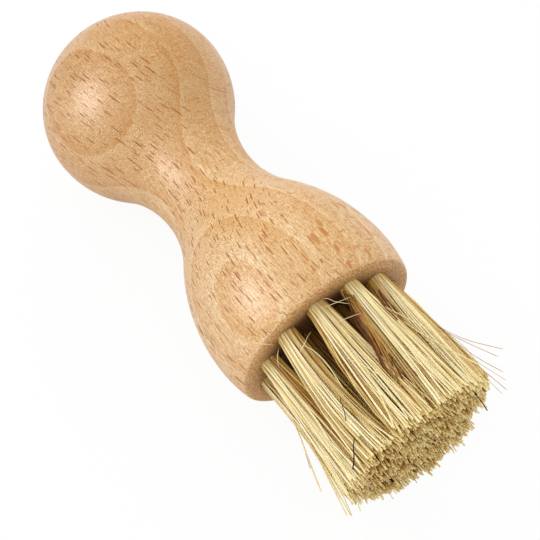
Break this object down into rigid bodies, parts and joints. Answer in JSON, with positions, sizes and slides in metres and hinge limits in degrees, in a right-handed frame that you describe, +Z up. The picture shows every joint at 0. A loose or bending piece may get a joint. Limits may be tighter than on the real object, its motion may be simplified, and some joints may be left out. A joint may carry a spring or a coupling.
{
  "type": "shoe polish dauber",
  "caption": "small round hand brush for spreading shoe polish: a turned beech handle with a ball knob, and tufts of stiff plant fibre set in its flat end",
  "frame": {"origin": "middle of the box that the whole dauber fills, on the surface that it lies on", "axes": "+X along the handle from the knob to the tips of the bristles, +Z up as it lies on its side"},
  "size_m": [0.1128, 0.0408, 0.0408],
  "materials": {
    "handle": "fine sanded and waxed beech, satin",
    "bristle": "undyed stiff plant fibre, straw coloured, trimmed flat",
    "anchor": "flat galvanised wire, cut"
  },
  "bodies": {
    "root": {"handle": "handle", "outer_tuft_01": "bristle", "outer_tuft_02": "bristle", "outer_tuft_03": "bristle", "outer_tuft_04": "bristle", "outer_tuft_05": "bristle", "outer_tuft_06": "bristle", "outer_tuft_07": "bristle", "outer_tuft_08": "bristle", "outer_tuft_09": "bristle", "outer_tuft_10": "bristle", "outer_tuft_11": "bristle", "outer_tuft_12": "bristle", "inner_tuft_01": "bristle", "inner_tuft_02": "bristle", "inner_tuft_03": "bristle", "inner_tuft_04": "bristle", "inner_tuft_05": "bristle", "inner_tuft_06": "bristle", "centre_tuft": "bristle", "outer_anchor_01": "anchor", "outer_anchor_02": "anchor", "outer_anchor_03": "anchor", "outer_anchor_04": "anchor", "outer_anchor_05": "anchor", "outer_anchor_06": "anchor", "outer_anchor_07": "anchor", "outer_anchor_08": "anchor", "outer_anchor_09": "anchor", "outer_anchor_10": "anchor", "outer_anchor_11": "anchor", "outer_anchor_12": "anchor", "inner_anchor_01": "anchor", "inner_anchor_02": "anchor", "inner_anchor_03": "anchor", "inner_anchor_04": "anchor", "inner_anchor_05": "anchor", "inner_anchor_06": "anchor", "centre_anchor": "anchor"}
  },
  "joints": []
}
